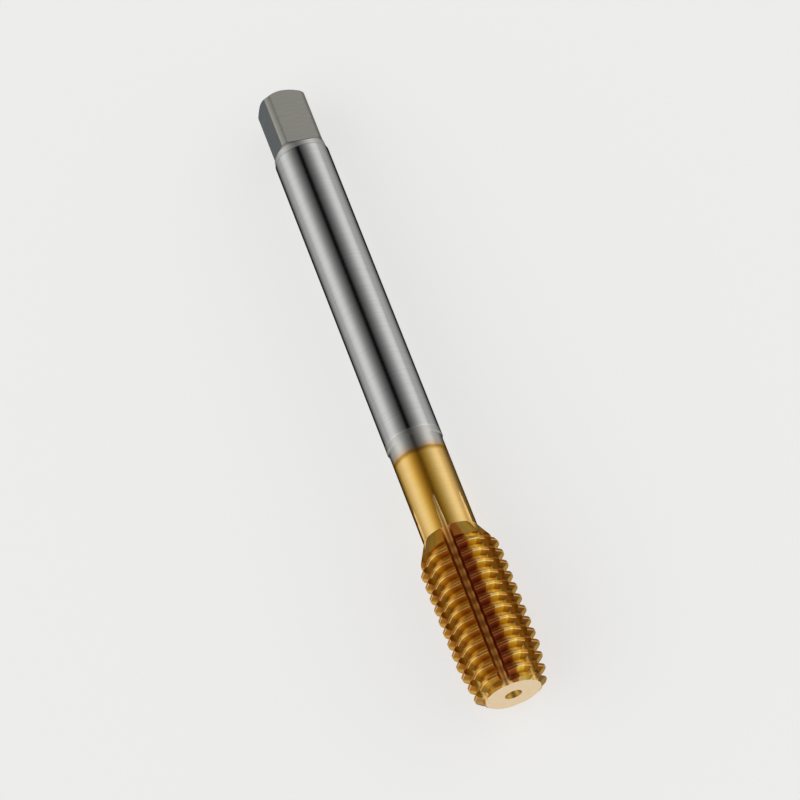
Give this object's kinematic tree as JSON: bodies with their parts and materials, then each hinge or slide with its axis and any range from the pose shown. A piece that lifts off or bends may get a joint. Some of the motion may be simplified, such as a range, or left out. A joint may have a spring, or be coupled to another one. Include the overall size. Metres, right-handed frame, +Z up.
{
  "type": "thread forming tap",
  "caption": "Chipless thread forming tap: lobed thread head with oil grooves and a tapered lead, gold-coated front, bright cylindrical shank and a drive square.",
  "frame": {"origin": "the floor point below the middle of the tap's bounding box, with the tap lying at rest", "axes": "+Z up; +Y along the tap from the thread end to the drive square, the tap's own axis leaning down towards +Y by 1.2 degrees because it rests on the thread lobes and on the thinner shank; +X across"},
  "size_m": [0.0128, 0.1102, 0.0123],
  "materials": {
    "steel": "ground high-speed steel, gold titanium nitride coat on the front third"
  },
  "bodies": {
    "root": {"forming_tap": "steel"}
  },
  "joints": []
}
